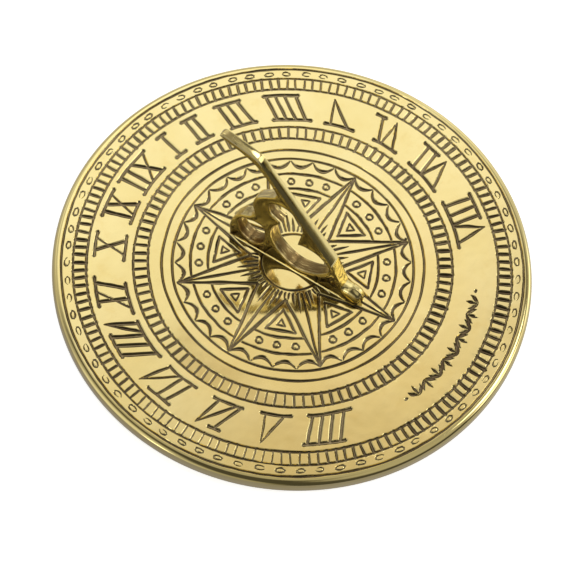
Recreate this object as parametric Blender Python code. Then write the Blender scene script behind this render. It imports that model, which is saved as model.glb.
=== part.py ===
# Garden sundial: a cast brass dial with a hollow underside, an openwork brass
# gnomon standing on its noon line, and the two screws and washers that hold
# the gnomon from beneath.
#
# Frame: metres, +Z up.  The origin is the centre of the dial's underside, on
# the plane it rests on.  +Y runs along the noon line (XII), towards the high,
# rear end of the gnomon; -Y is the front.  +X is to the right seen from above.

import math

import bmesh
import bpy
from mathutils import Matrix, Vector

MM = 0.001

# ---------------------------------------------------------------- dimensions
# Dial
DIAL_R = 127.0 * MM
DIAL_H = 8.8 * MM            # underside to engraved face
TOP_ROUND = 3.8 * MM         # rounding from the face down the rim
TOP_STEPS = 5
FOOT_ROUND = 2.6 * MM        # rounding from the rim to the underside
FOOT_STEPS = 4
DIAL_FACETS = 96
GROOVE_RADII_MM = (63.7, 69.3, 76.8, 84.3, 108.9, 115.8, 122.0)   # V-cut rings
GROOVE_W = 1.4 * MM
GROOVE_D = 0.6 * MM

# Hollow of the underside
RECESS_R = 115.0 * MM
RECESS_H = 5.0 * MM
MOUTH_FLARE = 1.2 * MM       # mouth edge, outside RECESS_R
MOUTH_EASE = 0.4 * MM        # end of the mouth's slope, outside RECESS_R and up
CORNER_DROP = 1.2 * MM       # corner slope starts this far below the ceiling
CORNER_START = 0.8 * MM      # and this far inside RECESS_R,
CORNER_END = 2.2 * MM        # and meets the ceiling this far inside it

# Fastening
SEAT_GAP = 0.3 * MM          # clearance between pieces that rest on each other
SCREWS = {                   # tag: (place along the noon line, slot angle)
    "front": (-36.5 * MM, math.radians(25)),
    "rear": (13.0 * MM, math.radians(-40)),
}
SHANK_R = 2.0 * MM           # M4
SHANK_CHAMFER = 0.5 * MM
GRIP = 5.4 * MM              # shank standing above the dial's face
SCREW_FACETS = 24
HOLE_R = 2.3 * MM            # holes in both the dial and the gnomon
HOLE_OVERRUN = 2.0 * MM      # dial hole cutter above the face
DIAL_HOLE_FACETS = 24
TAP_OVERRUN = 1.0 * MM       # gnomon hole cutter below the dial's face
TAP_CLEARANCE = 0.6 * MM     # gnomon hole beyond the shank's tip
TAP_FACETS = 20
HEAD_R = 4.0 * MM
HEAD_H = 3.0 * MM
# Head: fraction of HEAD_R, fraction of HEAD_H below the bearing face.
HEAD_PROFILE = [(0.0, 1.0), (0.55, 1.0), (0.82, 0.86),
                (0.97, 0.55), (1.0, 0.2), (1.0, 0.0)]
# Slot cutter, centred on the bottom of the head, so half its height cuts.
SLOT_SIZE = (20.0 * MM, 1.1 * MM, 2.8 * MM)
WASHER_R = 4.5 * MM
WASHER_BORE_R = 2.3 * MM
WASHER_H = 0.8 * MM
WASHER_CHAMFER = 0.1 * MM
WASHER_FACETS = 28
WASHER_TOP = RECESS_H - SEAT_GAP
WASHER_BOTTOM = WASHER_TOP - WASHER_H
HEAD_TOP = WASHER_BOTTOM - SEAT_GAP      # bearing face of the screw head

# Gnomon
FOOT_HALF = 4.28 * MM        # half thickness at the gnomon's foot
DRAFT = 0.0214               # half thickness lost per unit of height
EDGE = 0.55 * MM             # bevel on the outlines
CURVE_STEPS = 2              # points made per span of a curved outline

# Gnomon outlines in its own plane, in mm: distance along the noon line from
# the dial's centre, and height above the gnomon's foot.  The first four runs
# join into the outer edge, up the front and down the rear.
FRONT_LUG = [(-42.2, 0.0), (-42.8, 2.8), (-41.8, 6.0), (-39.4, 8.1),
             (-36.0, 8.9), (-33.2, 8.8), (-31.4, 8.6)]
STYLE = [(-24.0, 24.3), (22.8, 81.3)]                # straight shadow edge
FINIAL = [(24.6, 82.8), (27.5, 83.9), (31.0, 84.9), (37.0, 86.4),
          (43.0, 87.7), (45.6, 87.6), (46.9, 86.7), (46.6, 85.5),
          (45.0, 84.9), (38.8, 82.8), (31.8, 80.6), (26.1, 78.1),
          (22.5, 75.0), (19.6, 72.3), (16.0, 68.3), (13.3, 64.6),
          (11.9, 61.2)]
REAR_LOBES = [(13.2, 58.8), (16.7, 55.8), (20.3, 52.5), (23.4, 48.7),
              (25.0, 44.3), (25.2, 39.2), (24.3, 35.6), (23.9, 33.0),
              (24.9, 30.3), (27.6, 27.4), (31.3, 24.8), (34.7, 19.9),
              (36.8, 15.4), (38.1, 8.5), (37.8, 3.0), (37.6, 0.0)]
# Large opening: a round upper lobe, a cusp from each side, a wide lower bowl.
UPPER_LOBE = [(-2.88, 25.7), (-3.1, 28.8), (-3.9, 34.5), (-4.6, 38.7),
              (-4.6, 41.5), (-3.9, 45.0), (-1.1, 49.0), (2.4, 51.8),
              (6.6, 52.9), (10.1, 52.4), (13.3, 50.9), (15.2, 48.3),
              (15.5, 45.7), (14.3, 42.2), (12.2, 40.2), (7.7, 38.1)]
LOWER_BOWL = [(9.1, 34.5), (11.5, 31.0), (12.8, 27.4), (13.2, 23.2),
              (12.2, 17.9), (9.8, 13.0), (5.9, 8.4), (1.0, 4.8),
              (-3.9, 3.5), (-9.6, 4.8), (-15.2, 7.9), (-19.4, 11.6),
              (-21.9, 15.8), (-22.4, 19.3), (-21.0, 22.3), (-17.3, 25.4),
              (-13.8, 27.1), (-8.2, 27.6), (-4.9, 26.9)]
# Small opening at the rear.
TEARDROP = [(19.3, 24.4), (25.6, 24.2), (29.8, 22.4), (32.1, 19.4),
            (32.8, 16.0), (31.9, 10.6), (29.6, 6.5), (24.9, 4.2),
            (20.2, 6.0), (17.4, 9.9), (16.6, 15.5), (17.4, 21.6)]


# ------------------------------------------------------------------- helpers
def clear_scene():
    for item in list(bpy.data.objects):
        bpy.data.objects.remove(item, do_unlink=True)
    for store in (bpy.data.meshes, bpy.data.curves, bpy.data.materials):
        for item in list(store):
            store.remove(item)


def brass(name, colour, roughness):
    material = bpy.data.materials.new(name)
    material.use_nodes = True
    shader = material.node_tree.nodes["Principled BSDF"]
    shader.inputs["Base Color"].default_value = (*colour, 1.0)
    shader.inputs["Metallic"].default_value = 1.0
    shader.inputs["Roughness"].default_value = roughness
    return material


def add_piece(name, mesh, material, location=(0, 0, 0)):
    piece = bpy.data.objects.new(name, mesh)
    bpy.context.scene.collection.objects.link(piece)
    mesh.materials.append(material)
    piece.location = location
    return piece


def finish_mesh(bm, name, sharp_angle=math.radians(32)):
    """Turn a bmesh into a smooth-shaded mesh with its corners kept sharp."""
    bmesh.ops.recalc_face_normals(bm, faces=bm.faces[:])
    mesh = bpy.data.meshes.new(name)
    bm.to_mesh(mesh)
    bm.free()
    mesh.shade_smooth()
    mesh.set_sharp_from_angle(angle=sharp_angle)
    return mesh


def lathe(name, profile, facets):
    """Spin a (radius, z) profile about Z.

    A profile that starts on the axis ends there too, at a pole; any other
    is closed into a ring.
    """
    bm = bmesh.new()
    verts = [bm.verts.new((radius, 0.0, z)) for radius, z in profile]
    edges = [bm.edges.new(pair) for pair in zip(verts, verts[1:])]
    if profile[0][0] > 0.0:
        edges.append(bm.edges.new((verts[-1], verts[0])))
    bmesh.ops.spin(bm, geom=verts + edges, cent=(0, 0, 0), axis=(0, 0, 1),
                   angle=math.tau, steps=facets, use_merge=True)
    bmesh.ops.remove_doubles(bm, verts=bm.verts[:], dist=1e-7)
    return finish_mesh(bm, name)


def arc(centre_r, centre_z, radius, start, end, steps):
    """Profile points along an arc; start and end are in degrees."""
    points = []
    for i in range(steps + 1):
        angle = math.radians(start + (end - start) * i / steps)
        points.append((centre_r + radius * math.cos(angle),
                       centre_z + radius * math.sin(angle)))
    return points


def flowing(outline, closed=False):
    """Catmull-Rom points through a run of outline points."""
    points = [Vector(point) for point in outline]
    if closed:
        padded = points[-1:] + points + points[:2]
    else:
        # Mirror a neighbour past each end, so that the end spans have tangents.
        padded = [points[0] * 2 - points[1], *points, points[-1] * 2 - points[-2]]
    curve = []
    for before, start, end, after in zip(padded, padded[1:], padded[2:], padded[3:]):
        for k in range(CURVE_STEPS):
            t = k / CURVE_STEPS
            curve.append(0.5 * ((2 * start) + (end - before) * t
                                + (2 * before - 5 * start + 4 * end - after) * t * t
                                + (3 * start - before - 3 * end + after) * t ** 3))
    if not closed:
        curve.append(points[-1])
    return [(point.x, point.y) for point in curve]


def cut(piece, cutter, name):
    cutter.hide_render = True
    cutter.display_type = 'WIRE'
    modifier = piece.modifiers.new(name, 'BOOLEAN')
    modifier.operation = 'DIFFERENCE'
    modifier.solver = 'EXACT'
    modifier.object = cutter


def bore(piece, material, cutter_name, cut_name, base_z, bottom, top, facets):
    """Cut a round hole at each screw; bottom and top are measured from base_z."""
    for tag, (y, _) in SCREWS.items():
        name = f"{cutter_name}_{tag}"
        bm = bmesh.new()
        bmesh.ops.create_cone(bm, cap_ends=True, segments=facets, radius1=HOLE_R,
                              radius2=HOLE_R, depth=top - bottom,
                              matrix=Matrix.Translation((0, 0, (bottom + top) / 2)))
        cutter = add_piece(name, finish_mesh(bm, name), material, (0, y, base_z))
        cut(piece, cutter, f"{cut_name} {tag}")


# ---------------------------------------------------------------------- dial
def dial_profile():
    """From the centre of the face, over the rim, to the recess's centre."""
    points = [(0.0, DIAL_H)]
    for radius_mm in GROOVE_RADII_MM:
        radius = radius_mm * MM
        points += [(radius - GROOVE_W / 2, DIAL_H), (radius, DIAL_H - GROOVE_D),
                   (radius + GROOVE_W / 2, DIAL_H)]
    points += arc(DIAL_R - TOP_ROUND, DIAL_H - TOP_ROUND, TOP_ROUND, 90, 0, TOP_STEPS)
    points += arc(DIAL_R - FOOT_ROUND, FOOT_ROUND, FOOT_ROUND, 0, -90, FOOT_STEPS)
    points += [(RECESS_R + MOUTH_FLARE, 0.0),
               (RECESS_R + MOUTH_EASE, MOUTH_EASE),
               (RECESS_R - CORNER_START, RECESS_H - CORNER_DROP),
               (RECESS_R - CORNER_END, RECESS_H),
               (0.0, RECESS_H)]
    return points


def make_dial(material):
    name = "dial_plate"
    dial = add_piece(name, lathe(name, dial_profile(), DIAL_FACETS), material)
    bore(dial, material, "hole", "screw hole", base_z=0.0,
         bottom=0.0, top=DIAL_H + HOLE_OVERRUN, facets=DIAL_HOLE_FACETS)


# -------------------------------------------------------------------- gnomon
def gnomon_loops():
    outer = flowing(FRONT_LUG) + STYLE + flowing(FINIAL) + flowing(REAR_LOBES)
    # Both runs meet in the rear cusp, which is kept once.
    large = flowing(UPPER_LOBE)[:-1] + flowing(UPPER_LOBE[-1:] + LOWER_BOWL)
    return [outer, large, flowing(TEARDROP, closed=True)]


def flat_gnomon():
    """The bevelled plate, lying in XY, as a mesh made from a filled curve."""
    curve = bpy.data.curves.new("gnomon_outline", 'CURVE')
    curve.dimensions = '2D'
    curve.fill_mode = 'BOTH'
    curve.extrude = FOOT_HALF - EDGE
    curve.bevel_depth = EDGE
    curve.bevel_resolution = 0
    curve.offset = -EDGE         # offsets the bevel's outward growth
    for loop in gnomon_loops():
        spline = curve.splines.new('POLY')
        spline.points.add(len(loop) - 1)
        for point, (y, z) in zip(spline.points, loop):
            point.co = (y * MM, z * MM, 0.0, 1.0)
        spline.use_cyclic_u = True
    holder = bpy.data.objects.new("gnomon_outline", curve)
    bpy.context.scene.collection.objects.link(holder)
    bpy.context.view_layer.update()
    mesh = bpy.data.meshes.new_from_object(
        holder.evaluated_get(bpy.context.evaluated_depsgraph_get()))
    bpy.data.objects.remove(holder, do_unlink=True)
    return mesh


def make_gnomon(material):
    bm = bmesh.new()
    bm.from_mesh(flat_gnomon())
    bmesh.ops.remove_doubles(bm, verts=bm.verts[:], dist=1e-6)
    # Stand the plate up on the noon line and give it its casting draft.
    for vert in bm.verts:
        y, z, x = vert.co
        vert.co = (x * (1.0 - DRAFT * z / FOOT_HALF), y, z)
    mesh = finish_mesh(bm, "gnomon", sharp_angle=math.radians(38))
    gnomon = add_piece("gnomon", mesh, material, (0, 0, DIAL_H + SEAT_GAP))
    bore(gnomon, material, "tapping", "tapped hole", base_z=DIAL_H,
         bottom=-TAP_OVERRUN, top=GRIP + TAP_CLEARANCE, facets=TAP_FACETS)


# ----------------------------------------------------------------- fastening
def make_screw(tag, y, slot_angle, material):
    tip = DIAL_H + GRIP
    profile = [(HEAD_R * across, HEAD_TOP - HEAD_H * down)
               for across, down in HEAD_PROFILE]
    profile += [(SHANK_R, HEAD_TOP), (SHANK_R, tip - SHANK_CHAMFER),
                (SHANK_R - SHANK_CHAMFER, tip), (0.0, tip)]
    name = "gnomon_screw_" + tag
    screw = add_piece(name, lathe(name, profile, SCREW_FACETS), material, (0, y, 0))

    bm = bmesh.new()
    bmesh.ops.create_cube(bm, size=1.0, matrix=Matrix.Translation(
        (0, 0, HEAD_TOP - HEAD_H)) @ Matrix.Diagonal((*SLOT_SIZE, 1)))
    name = "slot_" + tag
    slot = add_piece(name, finish_mesh(bm, name), material, (0, y, 0))
    slot.rotation_euler = (0, 0, slot_angle)
    cut(screw, slot, "driver slot")


def make_washer(tag, y, material):
    profile = [(WASHER_BORE_R, WASHER_BOTTOM),
               (WASHER_R - WASHER_CHAMFER, WASHER_BOTTOM),
               (WASHER_R, WASHER_BOTTOM + WASHER_CHAMFER),
               (WASHER_R, WASHER_TOP - WASHER_CHAMFER),
               (WASHER_R - WASHER_CHAMFER, WASHER_TOP),
               (WASHER_BORE_R, WASHER_TOP)]
    name = "gnomon_washer_" + tag
    add_piece(name, lathe(name, profile, WASHER_FACETS), material, (0, y, 0))


def main():
    clear_scene()
    dial_brass = brass("dial_brass", colour=(0.80, 0.62, 0.27), roughness=0.24)
    gnomon_brass = brass("gnomon_brass", colour=(0.74, 0.57, 0.26), roughness=0.22)
    screw_brass = brass("screw_brass", colour=(0.72, 0.54, 0.24), roughness=0.30)
    make_dial(dial_brass)
    make_gnomon(gnomon_brass)
    for tag, (y, slot_angle) in SCREWS.items():
        make_screw(tag, y, slot_angle, screw_brass)
        make_washer(tag, y, screw_brass)


main()
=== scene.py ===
# Garden sundial, built in metres in the frame of the CAD model.
#
# The round dial lies flat on z = 0, centred on the Z axis, with its engraved
# face up.  The openwork gnomon stands on it in the YZ plane: its front lug is
# at -Y and its style climbs towards +Y.  Bearings on the face are in degrees
# clockwise from noon (+Y), seen from above.  Lengths are in mm unless a name
# or comment says otherwise, and are turned into metres as vertices are made.

import math
import random

import bmesh
import bpy
import numpy as np
from mathutils import Matrix, Vector, geometry


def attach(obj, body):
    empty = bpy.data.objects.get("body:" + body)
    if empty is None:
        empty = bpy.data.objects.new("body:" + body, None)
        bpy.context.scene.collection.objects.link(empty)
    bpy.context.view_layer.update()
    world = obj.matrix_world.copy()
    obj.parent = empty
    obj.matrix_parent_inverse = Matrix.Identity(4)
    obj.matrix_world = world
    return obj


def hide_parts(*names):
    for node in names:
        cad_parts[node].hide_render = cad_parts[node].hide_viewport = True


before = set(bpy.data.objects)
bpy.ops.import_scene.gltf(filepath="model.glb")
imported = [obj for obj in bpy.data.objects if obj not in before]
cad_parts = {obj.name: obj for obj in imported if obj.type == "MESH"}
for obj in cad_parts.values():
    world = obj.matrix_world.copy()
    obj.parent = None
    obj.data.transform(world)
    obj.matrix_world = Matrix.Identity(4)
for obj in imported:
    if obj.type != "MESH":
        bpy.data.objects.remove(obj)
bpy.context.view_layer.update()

MM = 0.001
TAU = math.tau
rng = random.Random(11)

RIM_R = 127.0
RIM_H = 8.8
RIM_ROUND = 3.8                # radius of the upper rim edge
FLAT_R = RIM_R - RIM_ROUND     # the engraved face is flat out to here
RIM_STEPS = 288
FOOT_ROUND = 2.6               # radius of the lower rim edge
HOLLOW_R = 114.8               # the hollow underside, at the foot of its cove
COVE_R = 1.7
WEB_Z = 5.0                    # underside of the web
SCREW_Y = (-36.5, 13.0)
HOLE_R = 2.3
HOLE_STEPS = 24

LAYOUT_R = 126.6               # engraved radii are fractions of this


# =========================================================== outline helpers
def flowing(points, steps, closed=False):
    """Catmull-Rom curve through points, as an array."""
    pts = np.array(points, float)
    n = len(pts)
    out = []
    for i in range(n if closed else n - 1):
        if closed:
            a, b, c, d = (pts[(i + k - 1) % n] for k in range(4))
        else:
            b, c = pts[i], pts[i + 1]
            a = pts[i - 1] if i else 2 * b - c
            d = pts[i + 2] if i + 2 < n else 2 * c - b
        for t in np.arange(steps) / steps:
            out.append(0.5 * (2 * b + (c - a) * t
                              + (2 * a - 5 * b + 4 * c - d) * t * t
                              + (3 * b - a - 3 * c + d) * t ** 3))
    if not closed:
        out.append(pts[-1])
    return np.array(out)


def resample(pts, step, closed=False, least=3):
    """Evenly spaced points, their arc lengths and the total length."""
    pts = np.asarray(pts, float)
    if closed:
        pts = np.vstack([pts, pts[:1]])
    seg = np.hypot(*np.diff(pts, axis=0).T)
    s = np.concatenate([[0.0], np.cumsum(seg)])
    n = max(least, int(round(s[-1] / step)) + (0 if closed else 1))
    q = np.linspace(0, s[-1], n + 1)[:-1] if closed else np.linspace(0, s[-1], n)
    even = np.column_stack([np.interp(q, s, pts[:, 0]), np.interp(q, s, pts[:, 1])])
    return even, q, s[-1]


def unit_rows(vectors):
    return vectors / np.maximum(np.hypot(*vectors.T), 1e-9)[:, None]


def left_normals(tangents):
    return np.column_stack([-tangents[:, 1], tangents[:, 0]])


def wave(s, height, length, period=None):
    """Slow irregular wave along an arc length s, periodic when asked."""
    out = np.zeros_like(s)
    for _ in range(3):
        k = TAU / (length * rng.uniform(0.6, 1.8))
        if period:
            k = TAU * max(1, round(k * period / TAU)) / period
        out += height * rng.uniform(0.3, 0.8) * np.sin(k * s + rng.uniform(0, TAU))
    return out


def seg_distance(p, a, b):
    """Distance of points p (n,2) to segments a-b (m,2): (n,m), and t."""
    d = b - a
    ll = np.maximum((d * d).sum(1), 1e-12)
    t = ((p[:, None, :] - a[None]) * d[None]).sum(2) / ll
    t = np.clip(t, 0, 1)
    q = a[None] + d[None] * t[..., None]
    return np.sqrt(((p[:, None, :] - q) ** 2).sum(2)), t


def fade(x, start, span):
    """0 before start, rising to 1 a span further on."""
    return np.clip((x - start) / span, 0, 1)


def circle(r, n, cx=0.0, cy=0.0):
    a = np.arange(n) * TAU / n
    return np.column_stack([cx + r * np.sin(a), cy + r * np.cos(a)])


def at(bearing, r):
    """Bearings and layout radii -> points in mm."""
    a = np.radians(bearing)
    return np.column_stack([np.atleast_1d(r * LAYOUT_R * np.sin(a)),
                            np.atleast_1d(r * LAYOUT_R * np.cos(a))])


def line(start, end, n):
    return start + (end - start) * np.linspace(0, 1, n)[:, None]


def ray(t0, r0, t1, r1, n=9):
    return line(at(t0, r0)[0], at(t1, r1)[0], n)


def along(t0, t1, r, n=40):
    return at(np.linspace(t0, t1, n), r)


def by_bearing(bearing, table):
    """Look a bearing up in a table of (bearings, values)."""
    return np.interp(bearing % 360, *table)


def loop_edges(first, count, closed=True):
    """Edges joining count points in a row, numbered from first."""
    return [(first + i, first + (i + 1) % count)
            for i in range(count if closed else count - 1)]


# ========================================================== engraved strokes
# How dark the cuts are by bearing: (bearings, values).  Real tarnish, with painted shade
# that makes the cuts darker or lighter with bearing.
RING_TARNISH_AND_SHADE = ((0, 60, 100, 150, 200, 215, 250, 270, 300, 340, 360),
                (0.75, 0.35, 0.5, 0.8, 1.0, 1.1, 1.1, 0.8, 0.9, 0.8, 0.75))
STROKE_TARNISH_AND_SHADE = ((0, 45, 75, 95, 140, 165, 190, 225, 240, 282, 291, 325, 360),
                  (0.76, 0.66, 0.66, 0.98, 1.05, 1.2, 1.05, 0.8, 0.8, 0.88, 1.05,
                   1.0, 0.76))

# Outlines traced around a cut: (share of its half width, extra offset, cap
# angles).  They are a margin outside the lip, the lip, and the wall's foot.
OUTLINES = ((1.0, 0.14, (60, 0, -60)),
            (1.0, 0.0, (60, 0, -60)),
            (0.5, 0.0, (0,)))


def usual_depth(width):
    return min(0.72, 0.22 + 0.42 * width)


class Cut:
    """One engraved stroke: a path, a half width along it and a depth.

    ends     share of the width left at the start and end
    swell    widening right at the ends
    wander   sideways waver of the path, over about a wavelength
    ragged   waver of the width, as a share of it
    """

    # tarnish and painted shade by bearing
    tarnish_and_shade = STROKE_TARNISH_AND_SHADE

    def __init__(self, path, width, depth=None, closed=False, ends=(1.0, 1.0),
                 swell=0.0, wander=0.10, wavelength=11.0, step=1.25, ragged=0.10,
                 least=3):
        p, s, total = resample(path, step, closed, least)
        if closed:
            tangent = np.roll(p, -1, 0) - np.roll(p, 1, 0)
        else:
            tangent = np.gradient(p, axis=0)
        self.tangent = unit_rows(tangent)
        self.normal = left_normals(self.tangent)
        period = total if closed else None
        self.path = p + self.normal * wave(s, wander, wavelength, period)[:, None]
        half = 0.5 * width * (1 + wave(s, ragged, wavelength * 0.7, period))
        if not closed:
            u = s / total
            half *= (1 - (1 - ends[0]) * np.clip(1 - u / 0.5, 0, 1) ** 1.3
                     - (1 - ends[1]) * np.clip(1 - (1 - u) / 0.5, 0, 1) ** 1.3)
            half *= 1 + swell * (np.exp(-(s / (0.5 * width)) ** 2)
                                 + np.exp(-((total - s) / (0.5 * width)) ** 2))
        self.half = half
        self.closed = closed
        self.darkness = rng.uniform(0.8, 1.15)
        self.depth = usual_depth(width) if depth is None else depth

    def cap(self, i, outward, offset, angles):
        """Points around the end of an open stroke at path point i."""
        points = []
        for a in map(math.radians, angles):
            points.append(self.path[i]
                          + outward * self.tangent[i] * offset[i] * math.cos(a)
                          + outward * self.normal[i] * offset[i] * math.sin(a))
        return points

    def rows(self):
        """(points, closed) of each line to hand to the triangulation."""
        out = []
        for share, extra, angles in OUTLINES:
            offset = (self.half * share + extra)[:, None]
            left = self.path + self.normal * offset
            right = self.path - self.normal * offset
            if self.closed:
                out += [(left, True), (right, True)]
            else:
                out.append((np.vstack([left, self.cap(-1, 1, offset, angles),
                                       right[::-1],
                                       self.cap(0, -1, offset, angles)]), True))
        out.append((self.path, self.closed))
        return out

    def relief(self, v):
        """(indices, groove 0..1) of the vertices v that this stroke reaches."""
        margin = self.half.max() + 0.02
        lo, hi = self.path.min(0) - margin, self.path.max(0) + margin
        idx = np.nonzero((v[:, 0] > lo[0]) & (v[:, 0] < hi[0])
                         & (v[:, 1] > lo[1]) & (v[:, 1] < hi[1]))[0]
        if not len(idx):
            return idx, np.zeros(0)
        a = self.path if self.closed else self.path[:-1]
        b = np.roll(self.path, -1, 0) if self.closed else self.path[1:]
        half_a = self.half if self.closed else self.half[:-1]
        half_b = np.roll(self.half, -1) if self.closed else self.half[1:]
        best = np.zeros(len(idx))
        for i in range(0, len(idx), 4000):
            d, t = seg_distance(v[idx[i:i + 4000]], a, b)
            u = d / (half_a[None] * (1 - t) + half_b[None] * t)
            best[i:i + 4000] = u.min(1)
        return idx, 1 - np.clip(best, 0, 1)


class Ring(Cut):
    """A full circle; its distance is taken in polar form."""

    # tarnish and painted shade by bearing
    tarnish_and_shade = RING_TARNISH_AND_SHADE

    def __init__(self, r, width, step=2.1, wander=0.16):
        n = int(TAU * r / step)
        a = np.arange(n) * TAU / n
        period = TAU * r
        s = a * r
        radius = r + wave(s, wander, 60.0, period) + wave(s, wander * 0.35, 14.0, period)
        half = 0.5 * width * (1 + wave(s, 0.12, 40.0, period))
        radius = np.minimum(radius, FLAT_R - 0.22 - half)      # stays on the flat face
        self.path = np.column_stack([radius * np.sin(a), radius * np.cos(a)])
        self.normal = np.column_stack([np.sin(a), np.cos(a)])
        self.half = half
        self.closed = True
        self.darkness = 1.0
        # tables over the full turn, their start repeated at the end
        self.turn = np.concatenate([a, [TAU]])
        self.turn_radius = np.concatenate([radius, radius[:1]])
        self.turn_half = np.concatenate([half, half[:1]])
        self.depth = usual_depth(width)

    def relief(self, v):
        r = np.hypot(v[:, 0], v[:, 1])
        idx = np.nonzero(np.abs(r - self.turn_radius.mean()) < 2.5)[0]
        a = np.arctan2(v[idx, 0], v[idx, 1]) % TAU
        u = np.abs(r[idx] - np.interp(a, self.turn, self.turn_radius)) \
            / np.interp(a, self.turn, self.turn_half)
        return idx, 1 - np.clip(u, 0, 1)


CUTS = []


def engrave(path, width, **style):
    CUTS.append(Cut(path, width, **style))


# ------------------------------------------------- rings, scales and ovals
OUTER_SCALE = (0.860, 0.915)
INNER_SCALE = (0.6066, 0.6656)
PLAIN_BAND = (0.5475, INNER_SCALE[0])      # just inside the inner scale

# (layout radius, width)
RINGS = ((0.964, 1.45), (OUTER_SCALE[1], 1.35), (OUTER_SCALE[0], 1.5),
         (INNER_SCALE[1], 1.45), (INNER_SCALE[0], 1.5), (PLAIN_BAND[0], 1.5),
         (0.5035, 1.6))

# Wear of the scale marks: (bearings, share of the width and depth left),
# for both scales and then for each.
SCALE_WEAR = ((0, 30, 46, 60, 80, 100, 140, 165, 185, 225, 240, 270, 288, 320, 360),
              (1.0, 0.95, 0.98, 0.74, 0.84, 1.05, 1.12, 1.32, 1.12, 0.95, 0.62,
               0.66, 0.98, 1.08, 1.0))
OUTER_WEAR = ((0, 20, 150, 180, 205, 220, 260, 280, 300, 320, 340, 360),
              (1.12, 1.09, 1.05, 1.22, 1.40, 1.08, 0.98, 0.88, 1.06, 1.20, 1.05, 1.12))
INNER_WEAR = ((0, 40, 60, 80, 100, 180, 200, 220, 250, 300, 320, 345, 360),
              (1.13, 1.10, 0.94, 1.26, 1.10, 1.0, 1.28, 1.04, 1.10, 1.0, 0.88, 1.02,
               1.13))
# (marks, (inner, outer) radius, width, first mark in pitches, own wear)
SCALES = ((152, OUTER_SCALE, 1.95, 0.7, OUTER_WEAR),
          (105, INNER_SCALE, 2.2, 1.3, INNER_WEAR))

OVALS = 72
OVALS_R = 0.9395


def engrave_rings():
    for r, width in RINGS:
        CUTS.append(Ring(r * LAYOUT_R, width))


def engrave_scales():
    for marks, (inner, outer), width, first, own_wear in SCALES:
        for i in range(marks):
            t = (i + first) * 360.0 / marks + rng.uniform(-0.16, 0.16)
            lean = rng.uniform(-0.16, 0.16)
            worn = by_bearing(t, SCALE_WEAR) * by_bearing(t, own_wear)
            engrave(ray(t - lean, inner, t + lean, outer),
                    width * worn * rng.uniform(0.86, 1.1), depth=0.66 * worn,
                    wander=0.05, step=2.4, ragged=0.07,
                    ends=(rng.uniform(0.75, 1), rng.uniform(0.7, 1)))


def engrave_ovals():
    for i in range(OVALS):
        t = i * 360.0 / OVALS + rng.uniform(-0.3, 0.3) + 1.2
        cx, cy = at(t, OVALS_R + rng.uniform(-0.0015, 0.0015))[0]
        a = math.radians(t)
        tangent_x, tangent_y = math.cos(a), -math.sin(a)
        half_length = rng.uniform(2.25, 2.7)
        half_height = rng.uniform(1.05, 1.28)
        skew = rng.uniform(-0.2, 0.2)
        gap = rng.random() < 0.45           # many ovals are not quite closed
        phase = rng.uniform(-0.4, 0.7) + (math.pi if rng.random() < 0.3 else 0.0)
        k = np.linspace(0, TAU * (rng.uniform(0.76, 0.9) if gap else 1.0), 26)
        if not gap:
            k = k[:-1]
        ex = half_length * np.cos(k + phase)
        ey = half_height * np.sin(k + phase + skew)
        path = np.column_stack([cx + ex * tangent_x + ey * math.sin(a),
                                cy + ex * tangent_y + ey * math.cos(a)])
        engrave(path, rng.uniform(0.80, 1.05), depth=0.45, closed=not gap,
                ends=(0.5, 0.4), wander=0.09, wavelength=5.0, step=1.2,
                ragged=0.24)


# ---------------------------------------------------------- hour numerals
THICK, MID, THIN = 2.45, 2.05, 1.6         # stroke widths
STROKE_OUTER, STROKE_INNER = 0.8275, 0.7045
APEX = 0.8325
SERIF_OUTER, SERIF_INNER = 0.8285, 0.7035
STROKE_WEAR = ((230, 240, 284, 290), (1.0, 0.86, 0.9, 1.0))
SERIF_WEAR = ((230, 240, 278, 287), (1, 0.86, 0.9, 1))

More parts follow.
